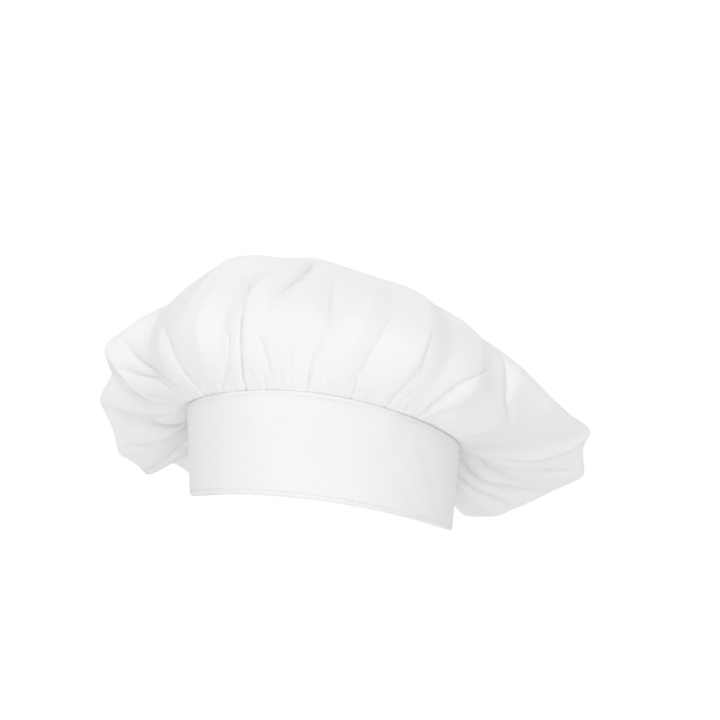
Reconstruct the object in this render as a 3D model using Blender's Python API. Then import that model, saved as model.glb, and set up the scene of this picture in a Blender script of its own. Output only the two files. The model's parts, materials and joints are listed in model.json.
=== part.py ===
"""Chef's toque: a gathered cotton crown on a stiffened band that closes at the back with a hook-and-loop tab.

The hat stands on its band with its front toward -Y and the wearer's left toward +X. The origin is the
centre of the head opening, level with the lowest points of the band. Lengths are in metres, and angles
are in degrees around the head, from the front toward the wearer's left.
"""
import math

import bmesh
import bpy
import numpy as np
from mathutils import Vector

# Head opening and band
HEAD_HALF_LENGTH = 0.102    # outer half length, front to back
HEAD_HALF_WIDTH = 0.088     # outer half width
BAND_HEIGHT = 0.057
BAND_FLARE = 0.005          # growth of the half length and half width up to the top edge
BAND_LEAN = 0.0065          # how far the top edge leans to the wearer's right
LEAN_ANGLE = 15.0           # the lean and the arches of the band's edges are square to this angle
ARCH_LOW = 0.0095           # rise of the lower edge at front and back
ARCH_TOP = 0.0125           # rise of the top edge at front and back

# Cloth stack, from the outer face inward
CLOTH = 0.0006
GAP = 0.0003
LAYER = CLOTH + GAP
ALLOWANCE = 0.008           # crown cloth that is tucked down inside the band

# Back closure
BAND_ENDS = (174.0, 186.0)  # the band's left end and its right end
TAB_ROOT = 174.3
TAB_TIP = 214.0
TAB_STEP = (175.0, 186.0)   # where the tab climbs from the band's level to the top of the tapes
TAB_LOW = 0.009
TAB_HIGH = 0.044
TAB_CORNER = 0.007
LOOP_SPAN = (189.0, 226.0)
HOOK_SPAN = (195.0, 211.0)
TAPE_LOW = 0.013
TAPE_HIGH = 0.040
HOOK_INSET = 0.004          # the hook tape is this much narrower than the loop tape at either edge
TAPE_SEAM = 0.0015          # stitching on a tape runs this far inside its edge
LOOP_THICK = 0.0010
HOOK_THICK = 0.0008
LOOP_FACE = GAP + LOOP_THICK
HOOK_FACE = LOOP_FACE + GAP + HOOK_THICK
TAB_RISE = HOOK_FACE + 3 * LAYER    # outer face of the tab above the band's outer face

# Threads
THREAD_RADIUS = 0.00025
THREAD_LIFT = GAP + THREAD_RADIUS
EDGE_INSET = 0.0025         # rows of stitching run this far inside an edge

# Care label, on the facing at the back
LABEL_SPAN = (148.0, 164.0)
LABEL_LOW = 0.012
LABEL_HIGH = 0.036
LABEL_THICK = 0.0003

# Crown. Each pleat line runs from the seam up to the rim and over to the top of the crown:
# (angle at the seam, angle at the rim, radius of the rim in mm, height of the rim in mm,
#  belly below the straight line in mm, fold in mm: above 0 a ridge, below 0 a valley,
#  dome of the cloth between rim and top in mm)
PLEATS = [
    (-50, -62, 129, 123, 19, -9, 8),
    (-43, -54, 117, 138, 23, 4, 8),
    (-35, -44, 100, 154, 25, -9, 6),
    (-28, -37, 90, 156, 26, 6, 6),
    (-21, -31, 80, 156, 22, -12, 6),
    (-14, -25, 66, 161, 28, 4, 6),
    (-7, -17, 56, 160, 27, -5, 6),
    (2, -1, 62, 153, 26, 5, 6),
    (9, 15, 56, 151, 24, -8, 5),
    (19, 29, 60, 149, 29, 5, 5),
    (28, 41, 66, 146, 27, -5, 5),
    (36, 53, 76, 143, 28, 6, 5),
    (45, 63, 84, 137, 23, -10, 5),
    (54, 72, 99, 130, 24, 8, 5),
    (63, 77, 113, 117, 18, -8, 6),
    (75, 81, 127, 110, 13, 8, 6),
    (89, 93, 153, 92, 6, -3, 2),
    (103, 105, 185, 82, 0, 8, 2),
    (107, 110, 180, 66, 2, -5, 14),
    (112, 115, 197, 49, 4, 7, 20),
    (119, 122, 179, 35, 6, -6, 28),
    (130, 134, 162, 9, 8, 5, 38),
    (143, 147, 153, 3, 8, -4, 44),
    (156, 158, 153, 56, 6, 3, 46),
    (170, 171, 158, 79, 2, -3, 50),
    (184, 184, 161, 80, 2, 3, 52),
    (198, 196, 158, 77, 2, -3, 52),
    (211, 208, 156, 66, 4, 4, 48),
    (225, 221, 153, 34, 8, -5, 44),
    (241, 240, 151, 4, 8, 6, 34),
    (254, 253, 142, 17, 8, -4, 30),
    (262, 261, 148, 2, 8, 5, 28),
    (268, 267, 148, 8, 6, -5, 26),
    (274, 274, 160, 18, 4, 7, 22),
    (280, 279, 160, 34, 2, -5, 18),
    (286, 285, 169, 54, 0, 8, 14),
    (291, 290, 160, 73, 4, -8, 10),
    (297, 294, 168, 91, 9, 8, 10),
    (304, 296, 152, 107, 14, -4, 8),
]
CROWN_TOP = Vector((-0.015, 0.002, 0.174))
CROWN_STEPS = 3             # mesh columns from one pleat line to the next
RISE_ROWS = (0.06, 0.14, 0.28, 0.45, 0.65, 0.85)
TOP_ROWS = (0.12, 0.3, 0.55, 0.8)
TOP_AVERAGING = (0, 4, 24, 90)   # rounds of averaging for each of the top rows, more toward the top
DOME_SKEW = 0.7             # below 1 the dome is fullest near the rim
FOLD_CENTRE = 0.35          # a fold is deepest here, between seam (0) and rim (1)
FOLD_REACH = 0.45
SEAM_FLARE = 0.003          # pleat lines start this far outside the band

# Seam rows of the crown, as (height past the band's top edge, distance out from the band's face)
SEAM_ROWS = [
    (-ALLOWANCE, -LAYER),
    (0.0004, -LAYER),
    (0.0015, -0.0004),
    (0.0022, 0.0014),
]


def around(angle):
    """Horizontal unit direction at an angle around the head."""
    turn = math.radians(angle)
    return Vector((math.sin(turn), -math.cos(turn), 0.0))


def band_point(angle, height, out=0.0):
    """Point at a height above the band's lower edge and a distance out from its outer face."""
    part = height / BAND_HEIGHT
    reach_x = HEAD_HALF_WIDTH + BAND_FLARE * part + out
    reach_y = HEAD_HALF_LENGTH + BAND_FLARE * part + out
    lean = around(LEAN_ANGLE + 90.0) * BAND_LEAN * part
    across = around(angle)
    arch = ARCH_LOW + (ARCH_TOP - ARCH_LOW) * part
    rise = arch * math.cos(math.radians(angle - LEAN_ANGLE)) ** 2
    return Vector((reach_x * across.x - lean.x, reach_y * across.y - lean.y, height + rise))


def spread(low, high, count):
    """Evenly spaced values from low to high."""
    return [low + (high - low) * i / (count - 1) for i in range(count)]


def material(name, colour, roughness, metallic=0.0):
    """Plain Principled material."""
    made = bpy.data.materials.new(name)
    made.use_nodes = True
    shader = made.node_tree.nodes["Principled BSDF"]
    shader.inputs["Base Color"].default_value = (*colour, 1.0)
    shader.inputs["Roughness"].default_value = roughness
    shader.inputs["Metallic"].default_value = metallic
    return made


def add_object(name, data, look, parent=None):
    """Link new object data with its material, under an optional parent."""
    made = bpy.data.objects.new(name, data)
    data.materials.append(look)
    bpy.context.scene.collection.objects.link(made)
    made.parent = parent
    return made


def sheet(name, columns, thickness, look, parent=None, closed=False, cap=None):
    """Cloth piece: a grid of points on its outer face, thickened inward."""
    shift = parent.location if parent else Vector()
    mesh = bmesh.new()
    grid = [[mesh.verts.new(point - shift) for point in column] for column in columns]
    pairs = list(zip(grid, grid[1:]))
    if closed:
        pairs.append((grid[-1], grid[0]))
    for left, right in pairs:
        for row in range(len(left) - 1):
            mesh.faces.new((left[row], right[row], right[row + 1], left[row + 1]))
    if cap is not None:
        tip = mesh.verts.new(cap - shift)
        for left, right in pairs:
            mesh.faces.new((left[-1], right[-1], tip))
    data = bpy.data.meshes.new(name)
    mesh.to_mesh(data)
    mesh.free()
    data.shade_smooth()
    made = add_object(name, data, look, parent)
    solid = made.modifiers.new("thickness", "SOLIDIFY")
    solid.thickness = thickness
    solid.offset = -1.0
    return made


def band_strip(name, span, low, high, out, thickness, look, count=61):
    """Strip that follows the band between two angles and two heights."""
    columns = [
        [band_point(angle, low, out), band_point(angle, high, out)]
        for angle in spread(span[0], span[1], count)
    ]
    return sheet(name, columns, thickness, look)


def tab_step(angle):
    """How far the tab has climbed at an angle: 0 at its root, 1 over the tapes."""
    part = (angle - TAB_STEP[0]) / (TAB_STEP[1] - TAB_STEP[0])
    part = min(max(part, 0.0), 1.0)
    return part * part * (3.0 - 2.0 * part)


def tab_edges(angle, inset=0.0):
    """Lower and upper height of the tab at an angle, with its two tip corners rounded."""
    along = (band_point(TAB_TIP, TAB_LOW) - band_point(angle, TAB_LOW)).length - inset
    radius = TAB_CORNER - inset
    drop = 0.0
    if along < radius:
        drop = radius - math.sqrt(max(radius ** 2 - (radius - along) ** 2, 0.0))
    return TAB_LOW + inset + drop, TAB_HIGH - inset - drop


def tab_ply(name, depth, look, hinge):
    """One cloth layer of the tab, at a depth below the tab's outer face."""
    turned = [TAB_TIP - (TAB_TIP - TAB_ROOT) * (1.0 - part) ** 2 for part in spread(0.0, 1.0, 29)]
    columns = []
    for angle in turned[:-1] + [TAB_TIP - 0.05]:
        low, high = tab_edges(angle)
        out = TAB_RISE * tab_step(angle) - depth
        columns.append([band_point(angle, height, out) for height in spread(low, high, 3)])
    return sheet(name, columns, CLOTH, look, hinge)


def thread(name, points, look, parent=None, closed=False):
    """Sewing thread through the points."""
    shift = parent.location if parent else Vector()
    curve = bpy.data.curves.new(name, "CURVE")
    curve.dimensions = "3D"
    curve.bevel_depth = THREAD_RADIUS
    curve.bevel_resolution = 1
    curve.use_fill_caps = True
    line = curve.splines.new("POLY")
    line.points.add(len(points) - 1)
    for spot, point in zip(line.points, points):
        spot.co = (*(point - shift), 1.0)
    line.use_cyclic_u = closed
    return add_object(name, curve, look, parent)


def band_thread(name, height, look):
    """Row of stitching around the band's outer face."""
    span = (BAND_ENDS[1] + 1.5, BAND_ENDS[0] + 360.0 - 1.5)
    points = [band_point(angle, height, THREAD_LIFT) for angle in spread(*span, 73)]
    return thread(name, points, look)


def tape_points(span, inset, face):
    """Rectangle of stitching for a tape between two angles, on a face this far out from the band."""
    angles = spread(span[0] + 1.0, span[1] - 1.0, 13)
    low = TAPE_LOW + inset + TAPE_SEAM
    high = TAPE_HIGH - inset - TAPE_SEAM
    points = [band_point(angle, low, face + THREAD_LIFT) for angle in angles]
    points += [band_point(angle, high, face + THREAD_LIFT) for angle in reversed(angles)]
    return points


def tab_edge_points():
    """Stitching line that runs parallel to the tab's edges."""
    out = TAB_RISE + THREAD_LIFT
    tip = TAB_TIP - 1.8
    angles = [tip - (tip - TAB_STEP[1]) * (1.0 - part) ** 2 for part in spread(0.0, 1.0, 15)]
    lower = [band_point(a, tab_edges(a, EDGE_INSET)[0], out) for a in angles]
    upper = [band_point(a, tab_edges(a, EDGE_INSET)[1], out) for a in reversed(angles)]
    return lower + upper


def pleat_line(pleat):
    """Points of one pleat line past the seam: up to the rim, then over to the top."""
    seam_angle, rim_angle, radius, height, belly, fold, dome = pleat
    seam = band_point(seam_angle, BAND_HEIGHT, SEAM_FLARE)
    rim = around(rim_angle) * (radius / 1000.0)
    rim.z = height / 1000.0
    chord = rim - seam
    out = (around(seam_angle) + around(rim_angle)).normalized()
    below = (out * chord.z - Vector((0.0, 0.0, 1.0)) * chord.dot(out)).normalized()
    points = []
    for part in RISE_ROWS:
        sag = belly * math.sin(math.pi * part ** 0.8)
        sag += fold * math.exp(-((part - FOLD_CENTRE) / FOLD_REACH) ** 2)
        points.append(seam + chord * part + below * (sag / 1000.0))
    points.append(rim)
    for part in TOP_ROWS:
        lift = dome / 1000.0 * math.sin(math.pi * part ** DOME_SKEW)
        points.append(rim.lerp(CROWN_TOP, part) + Vector((0.0, 0.0, lift)))
    return np.array(points)


def averaged_around(points):
    """Points eased toward their neighbours around the head, which rounds the corners at pleat lines."""
    return (np.roll(points, 1, axis=0) + 2.0 * points + np.roll(points, -1, axis=0)) / 4.0


def crown_columns():
    """Outer face of the crown, column by column around the head."""
    angles = []
    free = []
    following = PLEATS[1:] + [(PLEATS[0][0] + 360,) + PLEATS[0][1:]]
    for pleat, after in zip(PLEATS, following):
        here = pleat_line(pleat)
        there = pleat_line(after)
        step_angle = (after[0] - pleat[0]) % 360
        for step in range(CROWN_STEPS):
            part = step / CROWN_STEPS
            angles.append(pleat[0] + step_angle * part)
            free.append(here * (1.0 - part) + there * part)
    free = np.array(free)
    free = averaged_around(free)
    free[:, 1:-1] = (free[:, :-2] + 2.0 * free[:, 1:-1] + free[:, 2:]) / 4.0
    for row, passes in enumerate(TOP_AVERAGING, start=-len(TOP_ROWS)):
        for _ in range(passes):
            free[:, row] = averaged_around(free[:, row])
    columns = []
    for angle, points in zip(angles, free):
        column = [band_point(angle, BAND_HEIGHT + rise, out) for rise, out in SEAM_ROWS]
        columns.append(column + [Vector(point) for point in points])
    return columns


def build_band(looks):
    """Outer ply, interlining, facing and the two rows of stitching."""
    span = (BAND_ENDS[1], BAND_ENDS[0] + 360.0)
    band_strip("band_outer", span, 0.0, BAND_HEIGHT, 0.0, CLOTH, looks["band_cloth"])
    band_strip("band_interlining", span, 0.001, BAND_HEIGHT - ALLOWANCE - 0.001, -LAYER, CLOTH,
               looks["interlining"])
    band_strip("band_facing", span, 0.0, BAND_HEIGHT - 0.0005, -2 * LAYER, CLOTH, looks["facing_cloth"])
    band_thread("band_top_stitching", BAND_HEIGHT - EDGE_INSET, looks["band_thread"])
    band_thread("band_hem_stitching", EDGE_INSET, looks["hem_thread"])


def build_crown(looks):
    """The gathered crown, one cloth from the seam allowance to the top."""
    sheet("crown", crown_columns(), CLOTH, looks["crown_cloth"], closed=True, cap=CROWN_TOP)


def build_closure(looks):
    """Loop tape on the band, and the tab with its hook tape on a hinge at the band's left end."""
    band_strip("loop_tape", LOOP_SPAN, TAPE_LOW, TAPE_HIGH, LOOP_FACE, LOOP_THICK, looks["loop"], 13)
    thread("loop_tape_stitching", tape_points(LOOP_SPAN, 0.0, LOOP_FACE), looks["loop_thread"], closed=True)
    hinge = bpy.data.objects.new("closure_hinge", None)
    bpy.context.scene.collection.objects.link(hinge)
    hinge.location = band_point(TAB_ROOT, (TAB_LOW + TAB_HIGH) / 2.0)
    tab_ply("tab_outer", 0.0, looks["tab_cloth"], hinge)
    tab_ply("tab_interlining", LAYER, looks["tab_stiffener"], hinge)
    tab_ply("tab_facing", 2 * LAYER, looks["tab_lining"], hinge)
    hook = band_strip("hook_tape", HOOK_SPAN, TAPE_LOW + HOOK_INSET, TAPE_HIGH - HOOK_INSET, HOOK_FACE,
                      HOOK_THICK, looks["hook"], 9)
    hook.data.transform(hinge.matrix_basis.inverted())
    hook.parent = hinge
    thread("tab_edge_stitching", tab_edge_points(), looks["tab_thread"], hinge)
    thread("hook_tape_stitching", tape_points(HOOK_SPAN, HOOK_INSET, TAB_RISE), looks["hook_thread"], hinge,
           closed=True)


def build_label(looks):
    """Blank care label, sewn to the facing by its top edge."""
    face = -3 * LAYER
    band_strip("care_label", LABEL_SPAN, LABEL_LOW, LABEL_HIGH, face, LABEL_THICK, looks["label"], 9)
    seam = face - LABEL_THICK - THREAD_LIFT
    angles = spread(LABEL_SPAN[0] + 1.0, LABEL_SPAN[1] - 1.0, 9)
    points = [band_point(angle, LABEL_HIGH - TAPE_SEAM, seam) for angle in angles]
    thread("label_stitching", points, looks["label_thread"])


def build():
    """Clear the scene and model the hat."""
    for old in list(bpy.data.objects):
        bpy.data.objects.remove(old)
    white = (0.86, 0.86, 0.85)
    looks = {
        "crown_cloth": material("crown_cloth", white, 0.88),
        "band_cloth": material("band_cloth", (0.84, 0.84, 0.83), 0.88),
        "facing_cloth": material("facing_cloth", (0.83, 0.83, 0.82), 0.9),
        "interlining": material("interlining", (0.80, 0.80, 0.78), 0.95),
        "tab_cloth": material("tab_cloth", (0.84, 0.84, 0.83), 0.88),
        "tab_stiffener": material("tab_stiffener", (0.80, 0.80, 0.78), 0.95),
        "tab_lining": material("tab_lining", (0.83, 0.83, 0.82), 0.9),
        "loop": material("loop", (0.85, 0.85, 0.85), 1.0),
        "hook": material("hook", (0.88, 0.88, 0.88), 0.45),
        "band_thread": material("band_thread", (0.87, 0.87, 0.86), 0.6),
        "hem_thread": material("hem_thread", (0.87, 0.87, 0.86), 0.6),
        "tab_thread": material("tab_thread", (0.87, 0.87, 0.86), 0.6),
        "hook_thread": material("hook_thread", (0.87, 0.87, 0.86), 0.6),
        "loop_thread": material("loop_thread", (0.87, 0.87, 0.86), 0.6),
        "label_thread": material("label_thread", (0.87, 0.87, 0.86), 0.6),
        "label": material("label", (0.90, 0.90, 0.90), 0.4),
    }
    build_band(looks)
    build_crown(looks)
    build_closure(looks)
    build_label(looks)
    bpy.context.view_layer.update()


build()
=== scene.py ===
"""Looks of the chef's toque: gathered cotton crown, stitched band, back closure, soft studio stage.

Lengths are in metres and angles in degrees around the head, from the front toward the wearer's left.
A place on the band is (angle, height above the lower edge, distance out from the outer face). A place
on the crown is (part, angle): part 0 at the seam, 1 at the rim and 2 at the top of the crown.
"""
import json
import math

import bmesh
import bpy
import numpy as np
from mathutils import Matrix, Vector


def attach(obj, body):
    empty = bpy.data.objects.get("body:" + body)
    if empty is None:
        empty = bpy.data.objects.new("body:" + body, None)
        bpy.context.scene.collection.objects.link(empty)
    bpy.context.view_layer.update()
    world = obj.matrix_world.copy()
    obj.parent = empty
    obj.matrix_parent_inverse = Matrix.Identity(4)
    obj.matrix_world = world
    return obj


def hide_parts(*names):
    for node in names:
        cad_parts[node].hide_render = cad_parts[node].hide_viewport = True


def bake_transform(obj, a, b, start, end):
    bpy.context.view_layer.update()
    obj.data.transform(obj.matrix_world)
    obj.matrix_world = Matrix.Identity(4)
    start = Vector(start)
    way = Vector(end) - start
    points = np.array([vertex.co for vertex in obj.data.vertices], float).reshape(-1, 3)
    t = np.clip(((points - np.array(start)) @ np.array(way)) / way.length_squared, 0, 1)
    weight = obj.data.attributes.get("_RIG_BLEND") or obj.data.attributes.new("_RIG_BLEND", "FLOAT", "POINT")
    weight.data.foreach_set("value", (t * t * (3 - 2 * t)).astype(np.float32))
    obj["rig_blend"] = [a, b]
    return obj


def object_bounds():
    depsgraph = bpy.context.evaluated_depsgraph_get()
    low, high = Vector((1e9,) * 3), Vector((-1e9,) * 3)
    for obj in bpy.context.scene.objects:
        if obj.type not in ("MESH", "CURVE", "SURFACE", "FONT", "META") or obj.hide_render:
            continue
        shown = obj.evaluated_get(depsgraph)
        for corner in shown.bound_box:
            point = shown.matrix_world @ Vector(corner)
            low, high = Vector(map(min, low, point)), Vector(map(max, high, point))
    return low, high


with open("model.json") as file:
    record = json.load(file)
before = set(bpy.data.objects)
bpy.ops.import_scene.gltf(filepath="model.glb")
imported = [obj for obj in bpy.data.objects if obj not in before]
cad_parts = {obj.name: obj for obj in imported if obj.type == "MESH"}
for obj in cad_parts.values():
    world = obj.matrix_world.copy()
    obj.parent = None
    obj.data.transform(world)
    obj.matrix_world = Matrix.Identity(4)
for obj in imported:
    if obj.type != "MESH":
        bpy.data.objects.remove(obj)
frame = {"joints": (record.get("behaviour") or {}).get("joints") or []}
CAD_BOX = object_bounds()

MM = 0.001
UP = Vector((0.0, 0.0, 1.0))

# Band, as in the CAD
HEAD_HALF_LENGTH = 0.102
HEAD_HALF_WIDTH = 0.088
BAND_HEIGHT = 0.057
BAND_FLARE = 0.005
BAND_LEAN = 0.0065
LEAN_ANGLE = 15.0
ARCH_LOW = 0.0095
ARCH_TOP = 0.0125
BAND_ENDS = (174.0, 186.0)
LAYER = 0.0009
EDGE_INSET = 0.0025

# Cloth and thread
CLOTH = 0.0005
WEAVE_PITCH = 0.42          # mm
RIB_PITCH = 0.25            # mm, on the label
STITCH_PITCH = 0.0030
STITCH_SHARE = 0.82         # of its pitch that a stitch covers
THREAD_RADIUS = 0.00024
THREAD_TWIST = 0.35         # mm

# The band's own layers
HEM_FOLD = 0.0013           # height at which its face starts to turn under
HEM_RADIUS = 0.0015
HEM_INSIDE = 0.0065         # height that the hem reaches inside
TOP_ROLL = 0.0006           # radius of its top edge
STIFFENER_DEPTH = 0.0013
STIFFENER_SPAN = (0.0015, 0.0475)
LINING_DEPTH = 0.0020
LINING_SPAN = (0.004, 0.0558)
BAND_WAVES = 0.0003         # unevenness of its face
WAVE_SEED = 3
SEAM_GROOVE = 0.0008        # half width of the groove that stitches pull into it
MEAN_RADIUS = 0.095         # for the pitch of its stitches
ARC_PER_DEGREE = 1.7 * MM   # along its face

# Dents of the band: angle, height, half width, half height, tilt, depth
DENTS = [
    (42.0, 0.028, 0.008, 0.020, -1.1, 0.0006),
    (61.0, 0.034, 0.007, 0.016, -0.8, 0.0005),
    (-34.0, 0.026, 0.006, 0.022, 0.1, 0.0004),
    (20.0, 0.020, 0.012, 0.014, 0.4, 0.0002),
]

# Closure and label, as in the CAD
TAB_ROOT = 174.3
TAB_TIP = 214.0
TAB_STEP = (175.0, 186.0)
TAB_LOW = 0.009
TAB_HIGH = 0.044
TAB_CORNER = 0.007
LOOP_SPAN = (189.0, 226.0)
HOOK_SPAN = (195.0, 211.0)
TAPE_LOW = 0.013
TAPE_HIGH = 0.040
HOOK_INSET = 0.004
TAPE_SEAM = 0.0015
HOOK_FACE = 0.0024
TAB_RISE = HOOK_FACE + 3 * LAYER
LABEL_SPAN = (148.0, 164.0)
LABEL_LOW = 0.012
LABEL_HIGH = 0.036

# Their finer parts
TAB_OVERLAP = 5.0           # degrees of tab cloth sewn onto the band's end
TAB_SEAM_LIFT = 0.0004      # of that cloth above the band
TAB_BEND = (0.0020, -0.0025)    # where the tab's cloth starts and ends its bend, along HINGE_SIDE
HINGE_SIDE = Vector((1.0, 0.0, 0.0))
TAB_EDGE_ROLL = 0.0006      # how far the outer ply rolls down at its edges
TAB_EDGE_WIDTH = 0.0009
TAB_GROOVE = (0.0006, 0.00022)      # half width and depth of the groove under its stitching
TAB_CROWDING = 1.6          # of its grid's columns toward its tip
TAPE_ARC_PER_DEGREE = 1.6 * MM
TAPE_STITCH_PITCH = 0.0026
LOOP_BASE = 0.0008          # face of the loop tape's weave
LOOP_WEAVE = 0.0005         # its thickness
LOOP_PITCH = 0.0011
LOOP_SIZE = (0.00042, 0.00050)      # half width and height
LOOP_THREAD = 0.00006       # radius
HOOK_PITCH = 0.0013
HOOK_THREAD = 0.00009
HOOK_WEAVE = 0.0004
LABEL_CLOTH = 0.00025

# Crown pleat lines, from the seam up to the rim and over to the top:
# (angle at the seam, angle at the rim, rim radius mm, rim height mm,
#  belly below the straight line mm, ridge above 0 or valley below 0 mm, dome above the straight line mm)
PLEATS = [
    (-50, -62, 128, 122, 19, 0, 6),
    (-43, -54, 116, 137, 23, 0, 6),
    (-35, -44, 100, 155, 25, 0, 4),
    (-28, -37, 90, 155, 26, 0, 5),
    (-21, -31, 80, 155, 22, -1, 4),
    (-14, -25, 66, 160, 28, 1, 4),
    (-7, -17, 56, 160, 27, 1, 6),
    (2, -1, 62, 153, 26, 0, 6),
    (9, 15, 56, 151, 24, -1, 5),
    (19, 29, 60, 149, 29, 1, 5),
    (28, 41, 66, 146, 27, 0, 5),
    (36, 53, 77, 144, 28, 1, 6),
    (45, 63, 84, 137, 23, -1, 5),
    (54, 72, 99, 130, 24, 1, 5),
    (63, 77, 113, 117, 18, -1, 6),
    (75, 81, 127, 110, 13, 2, 8),
    (89, 93, 154, 92, 6, -1, 3),
    (103, 105, 184, 81, 0, 3, 2),
    (107, 110, 186, 66, 2, -1, 14),
    (112, 115, 197, 49, 4, 2, 20),
    (119, 122, 184, 34, 6, -3, 30),
    (130, 134, 162, 9, 8, 4, 38),
    (143, 147, 153, 3, 8, -2, 44),
    (156, 158, 153, 56, 6, 2, 46),
    (170, 171, 158, 79, 2, -2, 50),
    (184, 184, 161, 80, 2, 2, 52),
    (198, 196, 158, 77, 2, -2, 52),
    (211, 208, 156, 66, 4, 3, 48),
    (225, 221, 153, 34, 8, -3, 44),
    (241, 240, 151, 4, 8, 4, 34),
    (254, 253, 146, 17, 8, -1, 32),
    (262, 261, 154, 3, 8, 1, 30),
    (268, 267, 150, 9, 6, -1, 27),
    (274, 274, 160, 18, 4, 5, 22),
    (280, 279, 160, 34, 2, -3, 18),
    (286, 285, 169, 54, 0, 6, 14),
    (291, 290, 160, 73, 4, -3, 10),
    (297, 294, 166, 91, 9, 3, 8),
    (304, 296, 151, 106, 14, -1, 6),
]
CROWN_TOP = Vector((-0.015, 0.002, 0.172))
DOME_SKEW = 0.7
RING_ROUNDS = 10            # smoothing around the crown,
RISE_ROUNDS = 25            # from the seam up,
TOP_ROUNDS = 9000.0         # and around it near the top
CAP_START = 0.42            # where on the way from rim to top the smooth cap begins
CAP_BLEND_ROWS = 9          # rows on each side of the cap's edge that are evened out
CAP_BLEND_ROUNDS = 80
CAP_EDGE_ROUNDS = 3000
CROWN_WAVES = 0.0007        # unevenness of the crown's slack cloth
SEAM_INSET = -0.0008        # a standing pleat comes up from behind the band's edge
SEAM_FLARE = 0.0038         # a hanging pleat starts this much farther out
SEAM_LIFT = 0.0005          # and this much higher, over the band's edge
SEAM_RISE_FREE = 0.150      # pleats with rims above this stand up from the band
SEAM_HANGING = 0.085        # pleats with rims below this hang over it
FINE_STEPS = 24             # columns between two pleat lines at the front and sides
COARSE_STEPS = 12           # the same at the back
BACK = (130, 253)           # angles of the back
RISE_ROWS = 76              # rows from the seam to the rim
OVER_ROWS = 40              # and on to the top

# Folds of the crown: depth mm (below 0 a raised ridge), half width mm, path of (part, angle)
FOLDS = [
    (3.0, 3.2, [(0.0, -36), (0.18, -38), (0.44, -40), (0.74, -46)]),
    (4.6, 3.6, [(0.0, -45), (0.2, -47.5), (0.6, -54.5), (1.0, -59)]),
    (4.2, 3.2, [(0.0, -49), (0.27, -51), (0.54, -58), (0.74, -63)]),
    (2.4, 2.6, [(0.0, -56), (0.2, -59), (0.34, -62)]),
    (7.0, 4.5, [(0.0, -61), (0.2, -67), (0.45, -71), (0.7, -70.5), (1.0, -68)]),
    (4.6, 3.4, [(0.0, -88), (0.2, -85), (0.42, -82), (0.7, -77), (0.9, -74)]),
    (4.4, 3.4, [(0.0, -95), (0.3, -90), (0.65, -86), (0.9, -84)]),
    (4.2, 3.8, [(0.2, -97), (0.5, -96), (0.8, -97), (1.0, -98)]),
    (4.4, 4.0, [(0.0, -14), (0.1, -13.8), (0.29, -13.1), (0.5, -15.3), (0.9, -25.0), (1.15, -29.5)]),
    (1.8, 2.8, [(0.0, -25), (0.1, -19.6), (0.24, -18), (0.34, -20), (0.4, -25)]),
    (1.4, 2.0, [(0.0, -8.7), (0.07, -11)]),
    (1.9, 2.6, [(0.0, -2.7), (0.11, -3.6), (0.2, -6.5), (0.22, -9)]),
    (1.3, 2.2, [(0.0, 3), (0.1, 3.9), (0.16, 4.8), (0.21, 1.5)]),
    (2.6, 3.2, [(0.0, 9.9), (0.1, 9), (0.26, 9.9), (0.49, 9.2), (0.84, 5.6), (1.05, 4)]),
    (1.6, 3.2, [(0.0, 25.4), (0.1, 24.3), (0.22, 24.9), (0.5, 26), (0.75, 27)]),
    (2.0, 3.4, [(0.0, 38.5), (0.08, 37.5), (0.23, 39.2), (0.4, 37.2), (0.8, 36)]),
    (3.2, 4.2, [(0.0, 52), (0.14, 49.7), (0.34, 49.9), (0.5, 52.5), (0.7, 58), (0.95, 67)]),
    (2.0, 3.2, [(0.0, 55.5), (0.13, 55.4), (0.3, 59), (0.5, 66)]),
    (4.2, 3.4, [(1.0, 66), (0.85, 68), (0.62, 73), (0.47, 86)]),
    (-4.5, 3.4, [(1.0, 102), (0.76, 105.8), (0.54, 108.3), (0.15, 108)]),
    (6.0, 3.4, [(0.1, 112), (0.31, 116), (0.64, 112), (0.9, 110)]),
    (6.0, 3.2, [(0.0, 113), (0.31, 119.6), (0.64, 120.4)]),
    (6.5, 3.8, [(0.05, 123), (0.25, 124.9), (0.47, 124.6), (0.71, 121.8), (0.9, 118)]),
    (5.0, 3.4, [(0.1, 130), (0.4, 128), (0.65, 126.8), (0.9, 126)]),
    (6.0, 6.0, [(1.2, -8), (1.0, -6.5), (0.7, -4.7), (0.25, -7.8)]),
    (3.0, 4.5, [(0.08, 141), (0.4, 142), (0.75, 143)]),
    (3.0, 5.0, [(0.08, 158), (0.4, 160), (0.8, 161)]),
    (3.4, 5.0, [(0.08, 176), (0.4, 177), (0.8, 176)]),
    (2.8, 5.0, [(0.08, 193), (0.4, 191), (0.75, 190)]),
    (3.4, 5.0, [(0.08, 207), (0.4, 204), (0.8, 202)]),
    (2.8, 4.5, [(0.08, 221), (0.4, 219), (0.8, 217)]),
    (3.4, 4.5, [(0.08, 234), (0.4, 231), (0.8, 229)]),
    (2.8, 4.5, [(0.08, 247), (0.4, 244), (0.8, 243)]),
]
FOLD_PATH_ROUNDS = 40       # smoothing of a fold's path
FOLD_FADE = 0.3             # share of its length over which a fold runs out
FOLD_DEEPENS = 12.0         # mm from the seam over which a fold becomes deep
FOLD_WIDENS = 30.0          # and wide
FOLD_REACH = 3.2            # half widths to each side that a fold can move
SMALL_FOLD = 2.6            # half width mm of folds that need few points
SLIT_WIDTH = 0.3            # of a fold's half width

# Stage
FLOOR_DROP = 0.62           # below the hat
FLOOR_HALF_SIZE = 9.0
FLOOR_GLOW = 0.55
LIGHT_TARGET = Vector((0.0, 0.0, 0.08))
AMBIENT_BELOW = 0.70
AMBIENT_ABOVE = 0.78

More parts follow.
